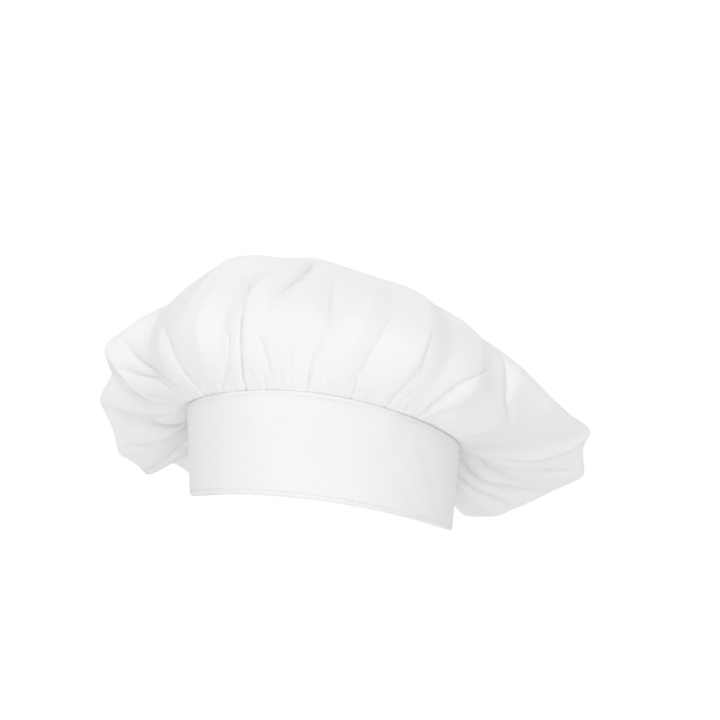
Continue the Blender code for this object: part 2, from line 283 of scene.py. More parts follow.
# Camera: to the wearer's left of the front, just above the head opening, looking slightly up
CAMERA_ANGLE = 15.0
CAMERA_DISTANCE = 0.6
CAMERA_HEIGHT = 0.0171
CAMERA_PITCH = 8.63
CAMERA_TURN = 1.05          # to the left of the line to the hat's axis
CAMERA_ROLL = 7.75
FOCAL_LENGTH = 43.18


# ---- geometry helpers

def around(angle):
    """Horizontal unit direction at an angle around the head."""
    turn = math.radians(angle)
    return Vector((math.sin(turn), -math.cos(turn), 0.0))


def band_points(angle, height, out=0.0):
    """Points on the band for arrays of angle, height and distance out."""
    angle, height, out = np.broadcast_arrays(np.asarray(angle, float), height, out)
    part = height / BAND_HEIGHT
    lean = around(LEAN_ANGLE + 90.0) * BAND_LEAN
    turn = np.radians(angle)
    arch = ARCH_LOW + (ARCH_TOP - ARCH_LOW) * part
    rise = arch * np.cos(np.radians(angle - LEAN_ANGLE)) ** 2
    x = (HEAD_HALF_WIDTH + BAND_FLARE * part + out) * np.sin(turn) - lean.x * part
    y = -(HEAD_HALF_LENGTH + BAND_FLARE * part + out) * np.cos(turn) - lean.y * part
    return np.stack((x, y, height + rise), axis=-1)


def band_normals(angle):
    """Outward unit normals of the band for an array of angles."""
    turn = np.radians(np.asarray(angle, float))
    x = np.sin(turn) * HEAD_HALF_LENGTH
    y = -np.cos(turn) * HEAD_HALF_WIDTH
    size = np.hypot(x, y)
    return np.stack((x / size, y / size, np.zeros_like(x)), axis=-1)


def smoothed(values, rounds, axis=0):
    """Values averaged with their neighbours, ends kept."""
    values = np.moveaxis(np.array(values, float), axis, 0)
    for _ in range(rounds):
        values[1:-1] = (values[:-2] + 2.0 * values[1:-1] + values[2:]) / 4.0
    return np.moveaxis(values, 0, axis)


def smoothed_ring(ring, rounds):
    """The same averaging around a closed ring, done in one go in frequency space."""
    wave = np.fft.fftfreq(len(ring)) * 2.0 * np.pi
    gain = (0.5 + 0.5 * np.cos(wave)) ** rounds
    return np.real(np.fft.ifft(np.fft.fft(ring, axis=0) * gain.reshape(-1, *[1] * (ring.ndim - 1)), axis=0))


def eased(share):
    """Smooth step from 0 to 1."""
    share = np.clip(share, 0.0, 1.0)
    return share * share * (3.0 - 2.0 * share)


def run_along(line):
    """Distance from the start of a line to each of its points."""
    return np.concatenate(([0.0], np.cumsum(np.linalg.norm(np.diff(line, axis=0), axis=1))))


def grid_normals(grid, closed):
    """Unit normals of a grid of points. A closed grid is a ring whose last row is a single point."""
    if closed:
        across = np.roll(grid, -1, axis=0) - np.roll(grid, 1, axis=0)
    else:
        across = np.gradient(grid, axis=0)
    normal = np.cross(across, np.gradient(grid, axis=1))
    normal /= np.linalg.norm(normal, axis=2, keepdims=True) + 1e-12
    if closed:
        tip = normal[:, -2].mean(axis=0)
        normal[:, -1] = tip / np.linalg.norm(tip)
    return normal


def grid_faces(columns, rows, closed):
    """Corner numbers of the quads of a grid."""
    left = np.arange(columns if closed else columns - 1)
    right = (left + 1) % columns
    row = np.arange(rows - 1)
    low_left = left[:, None] * rows + row
    low_right = right[:, None] * rows + row
    return np.stack((low_left, low_right, low_right + 1, low_left + 1), axis=-1).reshape(-1, 4)


def new_object(name, data):
    """Object in the scene."""
    made = bpy.data.objects.new(name, data)
    bpy.context.scene.collection.objects.link(made)
    return made


def mesh_object(name, points, faces, uvs):
    """Smooth mesh object from points, faces and, per point, cloth coordinates in millimetres."""
    mesh = bpy.data.meshes.new(name)
    mesh.from_pydata(np.asarray(points).tolist(), [], [list(face) for face in faces])
    corners = np.concatenate(faces)
    layer = mesh.uv_layers.new(name="cloth")
    layer.data.foreach_set("uv", np.asarray(uvs, np.float32)[corners].ravel())
    mesh.validate()
    mesh.shade_smooth()
    return new_object(name, mesh)


def rim_faces(columns, rows, closed):
    """Quads that join a grid to its inner copy around the open edges."""
    count = columns * rows
    number = np.arange(count).reshape(columns, rows)
    if closed:
        edges = [(np.roll(number[:, 0], -1), number[:, 0])]
    else:
        edges = [
            (number[1:, 0], number[:-1, 0]),
            (number[:-1, -1], number[1:, -1]),
            (number[0, :-1], number[0, 1:]),
            (number[-1, 1:], number[-1, :-1]),
        ]
    start, end = (np.concatenate(corners) for corners in zip(*edges))
    return np.stack((start, end, end + count, start + count), axis=1)


def sheet_mesh(grid, uv, thickness, closed=False):
    """Points, faces and cloth coordinates of cloth with real thickness: the grid is its outer face."""
    columns, rows = grid.shape[:2]
    inner = grid - grid_normals(grid, closed) * thickness
    points = np.concatenate((grid.reshape(-1, 3), inner.reshape(-1, 3)))
    outer_faces = grid_faces(columns, rows, closed)
    inner_faces = outer_faces[:, ::-1] + columns * rows
    faces = np.concatenate((outer_faces, inner_faces, rim_faces(columns, rows, closed)))
    return points, faces, np.concatenate([uv.reshape(-1, 2)] * 2)


def thick_sheet(name, grid, uv, thickness, closed=False):
    """Cloth with real thickness, as an object."""
    return mesh_object(name, *sheet_mesh(grid, uv, thickness, closed))


def weld(piece):
    """Joins the points of a piece that lie in one place."""
    shell = bmesh.new()
    shell.from_mesh(piece.data)
    bmesh.ops.remove_doubles(shell, verts=shell.verts, dist=1e-7)
    shell.to_mesh(piece.data)
    shell.free()


def finish_piece(piece, look, body, node):
    """Material, body, material slot and the CAD node that a piece stands for."""
    piece.data.materials.append(look)
    if "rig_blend" not in piece:
        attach(piece, body)
    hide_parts(node)


# ---- crown

def crown_parts():
    """Rows of the crown grid, closer together near the seam."""
    rise = np.linspace(0.0, 1.0, RISE_ROWS + 1) ** 1.3
    over = 1.0 + np.linspace(0.0, 1.0, OVER_ROWS + 1)[1:]
    return np.concatenate((rise, over))


def pleat_droop(pleat):
    """How far a pleat hangs over the band: 0 for one that stands up from it, 1 for one that hangs."""
    height = pleat[3] * MM
    return min(max((SEAM_RISE_FREE - height) / (SEAM_RISE_FREE - SEAM_HANGING), 0.0), 1.0)


def pleat_line(pleat, parts):
    """Points of one pleat line at the given parts of its way."""
    seam_angle, rim_angle, radius, height, belly, ridge, dome = pleat
    rim = around(rim_angle) * (radius * MM)
    rim.z = height * MM
    droop = pleat_droop(pleat)
    lifted = BAND_HEIGHT + SEAM_LIFT * math.sqrt(droop)
    seam = Vector(band_points(seam_angle, lifted, SEAM_INSET + SEAM_FLARE * droop))
    chord = rim - seam
    out = (around(seam_angle) + around(rim_angle)).normalized()
    below = (out * chord.z - UP * chord.dot(out)).normalized()
    points = []
    for part in parts:
        if part <= 1.0:
            sag = belly * math.sin(math.pi * part ** 0.8)
            sag += ridge * math.exp(-((part - 0.35) / 0.45) ** 2) * min(part / 0.1, 1.0)
            points.append(seam + chord * part + below * (sag * MM))
        else:
            lift = dome * MM * math.sin(math.pi * (part - 1.0) ** DOME_SKEW)
            points.append(rim.lerp(CROWN_TOP, part - 1.0) + UP * lift)
    return np.array(points)


def soft_topped(parts, grid):
    """Crown grid whose pleats end in a low, smooth cap instead of meeting in a point."""
    start = RISE_ROWS + int(CAP_START * OVER_ROWS)
    away = np.linalg.norm(grid[..., :2] - np.array(CROWN_TOP)[:2], axis=2)
    edge_height = smoothed_ring(grid[:, start, 2], CAP_EDGE_ROUNDS)[:, None]
    cap = CROWN_TOP.z - (CROWN_TOP.z - edge_height) * (away[:, start:] / away[:, start:start + 1]) ** 2
    share = eased((parts[start:] - parts[start]) / (parts[-1] - parts[start]))[None]
    grid[:, start:, 2] = grid[:, start:, 2] * (1.0 - share) + cap * share
    around_edge = slice(start - CAP_BLEND_ROWS, start + CAP_BLEND_ROWS)
    grid[:, around_edge] = smoothed(grid[:, around_edge], CAP_BLEND_ROUNDS, axis=1)
    return grid


def crown_form():
    """Angles, parts and points of the crown without its folds."""
    parts = crown_parts()
    lines = [pleat_line(pleat, parts) for pleat in PLEATS]
    angles = []
    grid = []
    for number, pleat in enumerate(PLEATS):
        following = (number + 1) % len(PLEATS)
        span = (PLEATS[following][0] - pleat[0]) % 360
        steps = COARSE_STEPS if BACK[0] <= pleat[0] <= BACK[1] else FINE_STEPS
        for step in range(steps):
            share = step / steps
            angles.append(pleat[0] + span * share)
            grid.append(lines[number] * (1.0 - share) + lines[following] * share)
    grid = smoothed_ring(np.array(grid), RING_ROUNDS)
    grid = smoothed(grid, RISE_ROUNDS, axis=1)
    for row in range(RISE_ROWS + 1, len(parts)):
        grid[:, row] = smoothed_ring(grid[:, row], TOP_ROUNDS * (parts[row] - 1.0) ** 2.5)
    return np.array(angles), parts, soft_topped(parts, grid)


def crown_point(form, part, angle):
    """Point of the crown grid at a part and an angle."""
    angles, parts, grid = form
    count = len(angles)
    turn = np.append((angles - angles[0]) % 360, 360.0)
    column = float(np.interp((angle - angles[0]) % 360, turn, np.arange(count + 1)))
    row = min(float(np.interp(part, parts, np.arange(len(parts)))), len(parts) - 1.001)
    left, low = int(column), int(row)
    share, climb = column - left, row - low
    left, right = left % count, (left + 1) % count
    lower = grid[left, low] * (1.0 - share) + grid[right, low] * share
    upper = grid[left, low + 1] * (1.0 - share) + grid[right, low + 1] * share
    return lower * (1.0 - climb) + upper * climb


def fold_line(form, path, count):
    """Points along a fold's path on the crown."""
    path = np.array(path, float)
    knots = np.linspace(0.0, 1.0, len(path))
    along = np.linspace(0.0, 1.0, count)
    part, angle = (smoothed(np.interp(along, knots, values), FOLD_PATH_ROUNDS) for values in path.T)
    return np.array([crown_point(form, p, a) for p, a in zip(part, angle)])


def fold_section(path, width, length, count):
    """Strength and half width along a fold. A fold from the seam starts narrow and opens upward."""
    along = np.linspace(0.0, 1.0, count)
    fade = eased((1.0 - along) / FOLD_FADE)
    from_seam = path[0][0] < 0.02
    if from_seam:
        strength = (0.45 + 0.55 * np.clip(along * length / FOLD_DEEPENS, 0.0, 1.0)) * fade
        wide = width * (0.35 + 0.65 * np.clip(along * length / FOLD_WIDENS, 0.0, 1.0) + 0.5 * along)
    else:
        strength = np.sin(np.clip(along / 0.35, 0.0, 1.0) * math.pi / 2.0) * fade
        wide = np.full(count, float(width))
    return along, strength, wide


def press_folds(form, folds, sharpness, draw, slit_share):
    """Presses each fold into the crown, and draws the cloth beside it toward its line.

    sharpness is the power of a fold's fall-off: 1 is a sharp crease, 2 a round trough. slit_share is how
    much of its depth is a narrow slit along its line.
    """
    grid = form[2]
    flat = grid.reshape(-1, 3)
    normals = grid_normals(grid, True).reshape(-1, 3)
    press = np.zeros(len(flat))
    drag = np.zeros_like(flat)
    for depth, width, path in folds:
        count = 70 if width > SMALL_FOLD else 16
        line = fold_line(form, path, count)
        length = np.linalg.norm(np.diff(line, axis=0), axis=1).sum() / MM
        along, strength, wide = fold_section(path, width, length, count)
        crisp = slit_share * (1.0 - 0.8 * along)
        reach = FOLD_REACH * width * MM
        near = ((flat > line.min(0) - reach) & (flat < line.max(0) + reach)).all(1).nonzero()[0]
        if len(near) == 0:
            continue
        apart = np.linalg.norm(flat[near, None] - line[None], axis=2)
        closest = apart.argmin(1)
        away = apart[np.arange(len(near)), closest] / MM / wide[closest]
        held = strength[closest]
        broad = np.exp(-away ** sharpness)
        if depth > 0:
            share = crisp[closest]
            slit = np.exp(-(away / SLIT_WIDTH) ** 1.5)
            press[near] += depth * held * ((1.0 - share) * broad + share * slit)
            pulled = draw * held * np.exp(-away ** 2)
            drag[near] += (line[closest] - flat[near]) * pulled[:, None]
        else:
            press[near] += depth * held * broad
    moved = flat - normals * (press * MM)[:, None] + drag
    return form[0], form[1], moved.reshape(grid.shape)


def gathers():
    """Small creases all along the seam, each with its own length, lean and hook."""
    chance = np.random.default_rng(7)
    made = []
    angle = 0.0
    while angle < 358.0:
        short = chance.random() < 0.78
        reach = chance.uniform(0.03, 0.08) if short else chance.uniform(0.08, 0.18)
        lean = chance.uniform(-1.6, 1.6)
        hook = chance.uniform(-2.5, 2.5) if chance.random() < 0.4 else 0.0
        path = [(0.0, angle), (reach * 0.6, angle + lean), (reach, angle + lean + hook)]
        depth = chance.uniform(0.5, 1.4)
        if BACK[0] < angle < BACK[1]:
            depth *= 0.4
        width = chance.uniform(1.2, 2.2)
        made.append((depth, width, path))
        beside = angle + chance.uniform(1.0, 1.8)
        tuft = [(0.01, beside), (reach * 0.5, beside + lean)]
        made.append((-0.8 * depth, 1.2 * width, tuft))
        angle += chance.uniform(2.8, 5.4)
    return made


def slack_waves(points, size):
    """Slight unevenness of slack cloth, as a height in metres at each point."""
    chance = np.random.default_rng(4)
    wave = np.zeros(points.shape[:-1])
    for _ in range(24):
        direction = chance.normal(size=3)
        length = chance.uniform(0.018, 0.060)
        direction *= 2.0 * math.pi / length / np.linalg.norm(direction)
        wave += np.sin(points @ direction + chance.uniform(0.0, 2.0 * math.pi)) * length
    return size * wave / np.abs(wave).max()


def drape_folds():
    """Slack folds of the cloth that hangs over the rim at the sides and back."""
    chance = np.random.default_rng(21)
    made = []
    angle = 80.0
    while angle < 285.0:
        start = chance.uniform(0.88, 1.1)
        end = chance.uniform(1.35, 1.8)
        lean = chance.uniform(-7.0, 7.0)
        path = [(start, angle), ((start + end) / 2.0, angle + lean * 0.6), (end, angle + lean)]
        made.append((chance.uniform(2.0, 4.0), chance.uniform(8.0, 12.0), path))
        angle += chance.uniform(10.0, 17.0)
    return made


def crown_cloth_coordinates(angles, grid):
    """Cloth coordinates in mm: the crown is cut as one disc, with its threads straight across it."""
    steps = np.linalg.norm(np.diff(grid[:, ::-1], axis=1), axis=2) / MM
    from_top = np.concatenate((np.zeros((len(angles), 1)), np.cumsum(steps, axis=1)), axis=1)[:, ::-1]
    turn = np.radians(angles)[:, None]
    return np.stack((from_top * np.sin(turn), -from_top * np.cos(turn)), axis=-1)


def tucked_edge(angles):
    """Rows of the crown's edge from inside the band up to its seam. Hanging pleats roll over the seam."""
    turn = np.array([pleat[0] for pleat in PLEATS] + [PLEATS[0][0] + 360.0])
    hang = np.array([pleat_droop(pleat) for pleat in PLEATS + PLEATS[:1]])
    hang = np.interp(angles, turn, hang)[:, None]
    over = np.sqrt(hang)
    heights = np.array([-4.0, -1.5, -0.6]) * (1.0 - over) + np.array([-4.0, 0.5, 1.2]) * over
    outs = np.array([-1.2, -1.15, -1.0]) * (1.0 - hang) + np.array([-1.2, -1.0, -0.3]) * hang
    return band_points(angles[:, None], BAND_HEIGHT + heights * MM, outs * MM)


def build_crown(look):
    """The gathered crown."""
    form = crown_form()
    form = press_folds(form, drape_folds(), sharpness=1.8, draw=0.15, slit_share=0.0)
    form = press_folds(form, FOLDS, sharpness=1.4, draw=0.35, slit_share=0.55)
    form = press_folds(form, gathers(), sharpness=1.6, draw=0.2, slit_share=0.5)
    angles, _, grid = form
    grid = grid + grid_normals(grid, True) * slack_waves(grid, CROWN_WAVES)[..., None]
    grid = np.concatenate((tucked_edge(angles), grid), axis=1)
    uv = crown_cloth_coordinates(angles, grid)
    piece = thick_sheet("crown_cloth", grid, uv, CLOTH, closed=True)
    weld(piece)
    finish_piece(piece, look, "hat", "crown")


# ---- band

def band_grid(angles, profile):
    """Grid of band points for a profile of (height, out), with the cloth coordinates."""
    heights = np.array([height for height, _ in profile])
    outs = np.array([out for _, out in profile])
    grid = band_points(angles[:, None], heights[None], outs[None])
    run = np.concatenate(([0.0], np.cumsum(np.hypot(np.diff(heights), np.diff(outs))))) / MM
    turn = run_along(grid[:, len(profile) // 2]) / MM
    uv = np.stack(np.broadcast_arrays(turn[:, None], run[None]), axis=-1)
    return grid, uv


def arc(centre, radius, start, end, count):
    """Points (height, out) along an arc, from a start to an end angle; 0 points outward, 90 up."""
    turn = np.radians(np.linspace(start, end, count))
    return [(centre[0] + radius * math.sin(t), centre[1] + radius * math.cos(t)) for t in turn]


def soft_waves(angles, heights, seed, size):
    """Slow, shallow waves of the band's face, as a height in metres."""
    chance = np.random.default_rng(seed)
    wave = np.zeros((len(angles), len(heights)))
    for _ in range(14):
        turns = chance.integers(3, 16)
        rise = chance.uniform(0.2, 1.6)
        phase, start = chance.uniform(0.0, 2.0 * math.pi, 2)
        wave += np.sin(np.radians(angles * turns)[:, None] + phase) * np.cos(
            rise * math.pi * heights[None] / BAND_HEIGHT + start) / math.sqrt(turns)
    return size * wave / np.abs(wave).max()


def band_face_relief(angles, heights):
    """Stitch grooves, soft waves and a few dents of the band's outer face."""
    stitches = 2.0 * np.pi * np.radians(angles) * MEAN_RADIUS / STITCH_PITCH
    ripple = 0.8 + 0.2 * np.cos(stitches)[:, None]
    relief = soft_waves(angles, heights, WAVE_SEED, BAND_WAVES)
    for row, depth in ((BAND_HEIGHT - EDGE_INSET, 0.00014), (EDGE_INSET, 0.00018)):
        relief = relief - depth * np.exp(-((heights - row) / SEAM_GROOVE) ** 2)[None] * ripple
    for angle, height, wide, tall, tilt, depth in DENTS:
        across = (angles - angle)[:, None] * ARC_PER_DEGREE - tilt * (heights[None] - height)
        relief = relief - depth * np.exp(-(across / wide) ** 2 - ((heights[None] - height) / tall) ** 2)
    return relief


def band_profile():
    """Places (height, out) from the hem's inner edge under and up the face to the tucked top edge."""
    face = [(height, 0.0) for height in np.linspace(HEM_FOLD, BAND_HEIGHT - TOP_ROLL, 60)]
    hem = arc((HEM_FOLD, -HEM_RADIUS), HEM_RADIUS, -180.0, 0.0, 11)
    inside = [(HEM_INSIDE, -2 * HEM_RADIUS), (0.0030, -2 * HEM_RADIUS)]
    edge = arc((BAND_HEIGHT - TOP_ROLL, -TOP_ROLL), TOP_ROLL, 15.0, 180.0, 8)
    tuck = [(BAND_HEIGHT - 0.004, -0.0008)]
    return inside + hem[:-1], face, edge + tuck


def build_band(looks):
    """Outer cloth with its turned hem, stiffener and lining."""
    angles = np.linspace(BAND_ENDS[1], BAND_ENDS[0] + 360.0, 481)
    below, face, above = band_profile()
    grid, uv = band_grid(angles, below + face + above)
    heights = np.array([height for height, _ in face])
    relief = band_face_relief(angles - 360.0, heights)
    rows = slice(len(below), len(below) + len(face))
    grid[:, rows] += band_normals(angles)[:, None] * relief[..., None]
    piece = thick_sheet("band_cloth", grid, uv, CLOTH * 0.6)
    finish_piece(piece, looks["band"], "hat", "band_outer")

    coarse = np.linspace(BAND_ENDS[1] + 0.1, BAND_ENDS[0] + 359.9, 241)
    inner = [(h, -STIFFENER_DEPTH) for h in np.linspace(*STIFFENER_SPAN, 6)]
    grid, uv = band_grid(coarse, inner)
    piece = thick_sheet("band_stiffener", grid, uv, CLOTH)
    finish_piece(piece, looks["stiffener"], "hat", "band_interlining")

    lining = [(h, -LINING_DEPTH) for h in np.linspace(*LINING_SPAN, 24)]
    grid, uv = band_grid(coarse, lining)
    wave = soft_waves(coarse, np.array([h for h, _ in lining]), 5, 0.0002)
    grid -= band_normals(coarse)[:, None] * np.abs(wave)[..., None]
    piece = thick_sheet("band_lining", grid, uv, CLOTH)
    finish_piece(piece, looks["lining"], "hat", "band_facing")


# ---- stitches

def tube_faces(sides, stations):
    """Faces of a tube made of rings of points: its quads, then its two ends."""
    station, side = np.divmod(np.arange(sides * (stations - 1)), sides)
    here = station * sides + side
    there = station * sides + (side + 1) % sides
    quads = np.stack((here, there, there + sides, here + sides), axis=1)
    ring = np.arange(sides)
    return [*quads, ring[::-1], ring + sides * (stations - 1)]


def stitch_template(length, radius):
    """One stitch along x, bulging along z, tapered into the cloth at both ends."""
    sides = stations = 7
    points = []
    for step in range(stations):
        share = step / (stations - 1)
        swell = math.sin(math.pi * (0.08 + 0.84 * share)) ** 0.5
        sink = -radius * 1.1 * (1.0 - math.sin(math.pi * share) ** 0.6)
        for side in range(sides):
            turn = 2.0 * math.pi * side / sides
            points.append(((share - 0.5) * length, radius * swell * math.cos(turn),
                           sink + radius * 0.8 * swell * math.sin(turn)))
    return np.array(points), tube_faces(sides, stations)


def along_line(places, run, values):
    """Values at distances along a line, from the run of its own points."""
    return np.stack([np.interp(places, run, values[:, axis]) for axis in range(3)], axis=1)


def stitch_row(name, line, normals, pitch=STITCH_PITCH, radius=THREAD_RADIUS):
    """Row of separate stitches along a line that lies on the cloth."""
    run = run_along(line)
    count = max(int(run[-1] / pitch), 1)
    middles = (np.arange(count) + 0.5) * run[-1] / count
    place = along_line(middles, run, line)
    out = along_line(middles, run, normals)
    along = along_line(middles + pitch * 0.4, run, line) - along_line(middles - pitch * 0.4, run, line)
    along /= np.linalg.norm(along, axis=1, keepdims=True)
    out -= along * (out * along).sum(1, keepdims=True)
    out /= np.linalg.norm(out, axis=1, keepdims=True)
    side = np.cross(out, along)
    points, stitch_faces = stitch_template(pitch * STITCH_SHARE, radius)
    placed = place[:, None] + points[None, :, :1] * along[:, None]
    placed = placed + points[None, :, 1:2] * side[:, None] + points[None, :, 2:] * out[:, None]
    faces = [face + number * len(points) for number in range(count) for face in stitch_faces]
    uv = np.tile(np.stack((points[:, 0], points[:, 1]), axis=1) / MM, (count, 1))
    return mesh_object(name, placed.reshape(-1, 3), faces, uv)


def band_stitches(name, height, node, look):
    """Row of stitching around the band's face."""
    angles = np.linspace(BAND_ENDS[1] + 1.5, BAND_ENDS[0] + 358.5, 700)
    line = band_points(angles, height, 0.00006)
    relief = soft_waves(angles - 360.0, np.array([height]), WAVE_SEED, BAND_WAVES)
    line = line + band_normals(angles) * relief
    piece = stitch_row(name, line, band_normals(angles))
    finish_piece(piece, look, "hat", node)


def tape_line(span, inset, face):
    """Closed line of stitching around a tape, with its outward normals."""
    low = TAPE_LOW + inset + TAPE_SEAM
    high = TAPE_HIGH - inset - TAPE_SEAM
    start, end = span[0] + 1.0, span[1] - 1.0
    places = np.arange(0.0, 4.0125, 0.025)
    angles = np.interp(places, range(5), (start, end, end, start, start))
    heights = np.interp(places, range(5), (low, low, high, high, low))
    return band_points(angles, heights, face), band_normals(angles)


# ---- closure

def tab_step(angle):
    """How far the tab has climbed at an angle: 0 at its root, 1 over the tapes."""
    return eased((np.asarray(angle, float) - TAB_STEP[0]) / (TAB_STEP[1] - TAB_STEP[0]))


def tab_edges(angles, inset=0.0):
    """Lower and upper heights of the tab at each angle, with its tip corners rounded."""
    tip = band_points(TAB_TIP, TAB_LOW)
    along = np.linalg.norm(band_points(angles, TAB_LOW) - tip, axis=-1) - inset
    radius = TAB_CORNER - inset
    chord = np.sqrt(np.maximum(radius ** 2 - (radius - along) ** 2, 0.0))
    drop = np.where(along < radius, radius - chord, 0.0)
    return TAB_LOW + inset + drop, TAB_HIGH - inset - drop


def tab_ply(name, depth, root, edge_roll, look, slot, node):
    """One cloth of the tab. edge_roll is how far its edges roll toward the layers below (or above)."""
    spread = np.linspace(0.0, 1.0, 90)
    angles = TAB_TIP - 0.02 - (TAB_TIP - root) * (1.0 - spread) ** TAB_CROWDING
    low, high = tab_edges(angles)
    across = 0.5 - 0.5 * np.cos(np.linspace(0.0, math.pi, 30))
    heights = low[:, None] + (high - low)[:, None] * across[None]
    out = (TAB_RISE * tab_step(angles) - depth)[:, None] + np.zeros_like(heights)
    from_edge = np.minimum(heights - TAB_LOW, TAB_HIGH - heights)
    to_tip = band_points(angles, TAB_LOW) - band_points(TAB_TIP, TAB_LOW)
    nearest = np.minimum(from_edge, np.linalg.norm(to_tip, axis=-1)[:, None])
    out -= edge_roll * np.exp(-(nearest / TAB_EDGE_WIDTH) ** 2)
    out += np.where(angles < TAB_ROOT, TAB_SEAM_LIFT, 0.0)[:, None]
    seam = np.exp(-((nearest - EDGE_INSET) / TAB_GROOVE[0]) ** 2)
    out -= np.sign(edge_roll) * TAB_GROOVE[1] * seam
    grid = band_points(angles[:, None], heights, out)
    run = run_along(grid[:, grid.shape[1] // 2]) / MM
    uv = np.stack(np.broadcast_arrays(run[:, None], heights / MM), axis=-1)
    piece = thick_sheet(name, grid, uv, CLOTH * 0.8)
    hinge = Vector(frame["joints"][0]["pos_m"])
    start, end = (hinge + HINGE_SIDE * distance for distance in TAB_BEND)
    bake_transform(piece, "hat", "closure_tab", start=start, end=end)
    finish_piece(piece, look, "closure_tab", node)


def pile_object(name, base, base_uv, thickness, places, template, template_faces):
    """A tape: its woven base and many small hooks or loops standing on it, as one mesh."""
    points, faces, uv = ([part] for part in sheet_mesh(base, base_uv, thickness))
    first = len(points[0])
    for place, along, side, out in places:
        points.append(place + template[:, :1] * along + template[:, 1:2] * side + template[:, 2:] * out)
        faces.append(template_faces + first)
        uv.append(template[:, :2] / MM)
        first += len(template)
    return mesh_object(name, np.concatenate(points), np.concatenate(faces), np.concatenate(uv))


def tube(line, radius):
    """Points and faces of a thin, four-sided tube along a short line in the x-z plane."""
    sides = 4
    points = []
    for number, (x, z) in enumerate(line):
        ahead = line[min(number + 1, len(line) - 1)]
        behind = line[max(number - 1, 0)]
        dx, dz = ahead[0] - behind[0], ahead[1] - behind[1]
        size = math.hypot(dx, dz)
        for side in range(sides):
            turn = 2.0 * math.pi * side / sides
            push = radius * math.cos(turn)
            points.append((x - push * dz / size, -radius * math.sin(turn), z + push * dx / size))
    return np.array(points), np.array(tube_faces(sides, len(line)))


def tape_frames(span, low, high, face, pitch, jitter, twist, outward, seed):
    """Places for hooks or loops on a tape, each with its along, side and out directions."""
    chance = np.random.default_rng(seed)
    width = TAPE_ARC_PER_DEGREE * (span[1] - span[0])
    made = []
    for column in range(int(width / pitch) - 1):
        for row in range(int((high - low) / pitch) - 1):
            step = (column + 1 + chance.uniform(-jitter, jitter)) * pitch
            angle = span[0] + step / TAPE_ARC_PER_DEGREE
            height = low + (row + 1 + chance.uniform(-jitter, jitter)) * pitch
            place = band_points(angle, height, face)
            out = band_normals(angle) * outward
            turn = chance.uniform(-1.0, 1.0) * twist
            flat = np.array([math.cos(math.radians(angle)), math.sin(math.radians(angle)), 0.0])
            along = flat * math.cos(turn) + np.array([0.0, 0.0, 1.0]) * math.sin(turn)
            made.append((place, along, np.cross(out, along), out))
    return made


def build_loop_tape(looks):
    """Loop tape on the band, with its stitching."""
    span = np.linspace(*LOOP_SPAN, 61)
    base, uv = band_grid(span, [(h, LOOP_BASE) for h in np.linspace(TAPE_LOW, TAPE_HIGH, 25)])
    turns = np.linspace(0.0, math.pi, 6)
    bow = [(LOOP_SIZE[0] * math.cos(t), LOOP_SIZE[1] * math.sin(t) - 0.00005) for t in turns]
    box = (LOOP_SPAN, TAPE_LOW, TAPE_HIGH, LOOP_BASE)
    places = tape_frames(*box, LOOP_PITCH, jitter=0.5, twist=math.pi, outward=1.0, seed=11)
    piece = pile_object("loop_pile", base, uv, LOOP_WEAVE, places, *tube(bow, LOOP_THREAD))
    finish_piece(piece, looks["loop"], "hat", "loop_tape")
    line = tape_line(LOOP_SPAN, 0.0, LOOP_BASE + 0.0002)
    piece = stitch_row("loop_tape_stitches", *line, pitch=TAPE_STITCH_PITCH)
    finish_piece(piece, looks["thread"], "hat", "loop_tape_stitching")


def build_hook_tape(looks):
    """Hook tape under the tab, with its stitching."""
    low, high = TAPE_LOW + HOOK_INSET, TAPE_HIGH - HOOK_INSET
    span = np.linspace(*HOOK_SPAN, 31)
    base, uv = band_grid(span, [(h, HOOK_FACE) for h in np.linspace(low, high, 21)])
    stem = [(0.0, 0.0), (0.0, 0.00045), (0.00005, 0.00062)]
    barb = [(0.00018, 0.0007), (0.0003, 0.0006), (0.00033, 0.00048)]
    box = (HOOK_SPAN, low, high, HOOK_FACE - HOOK_WEAVE)
    places = tape_frames(*box, HOOK_PITCH, jitter=0.05, twist=0.15, outward=-1.0, seed=13)
    piece = pile_object("hook_field", base, uv, HOOK_WEAVE, places, *tube(stem + barb, HOOK_THREAD))
    finish_piece(piece, looks["hook"], "closure_tab", "hook_tape")
    line = tape_line(HOOK_SPAN, HOOK_INSET, TAB_RISE + 0.00005)
    piece = stitch_row("hook_tape_stitches", *line, pitch=TAPE_STITCH_PITCH)
    finish_piece(piece, looks["thread"], "closure_tab", "hook_tape_stitching")


def build_tab_stitches(look):
    """Row of stitching along the tab's two edges and around its tip."""
    root, tip = TAB_STEP[1] - 4.0, TAB_TIP - 1.8
    spread = 1.0 - (1.0 - np.linspace(0.0, 1.0, 120)) ** TAB_CROWDING
    angles = root + (tip - root) * spread
    low, high = tab_edges(angles, EDGE_INSET)
    turns = np.concatenate((angles, angles[::-1]))
    heights = np.concatenate((low, high[::-1]))
    line = band_points(turns, heights, TAB_RISE * tab_step(turns) - 0.00005)
    piece = stitch_row("tab_stitches", line, band_normals(turns), pitch=TAPE_STITCH_PITCH)
    finish_piece(piece, look, "closure_tab", "tab_edge_stitching")


def build_closure(looks):
    """Loop tape, the tab's layers, hook tape and their stitching."""
    build_loop_tape(looks)
    plies = [
        ("tab_cloth", -TAB_OVERLAP, TAB_EDGE_ROLL, looks["tab"], "band_cotton", "tab_outer"),
        ("tab_stiffener", 0.8, 0.0, looks["stiffener"], "interlining", "tab_interlining"),
        ("tab_lining", 0.3, -TAB_EDGE_ROLL, looks["lining"], "facing_cotton", "tab_facing"),
    ]
    for number, (name, root, edge_roll, *rest) in enumerate(plies):
        tab_ply(name, number * LAYER, TAB_ROOT + root, edge_roll, *rest)
    build_hook_tape(looks)
    build_tab_stitches(looks["thread"])


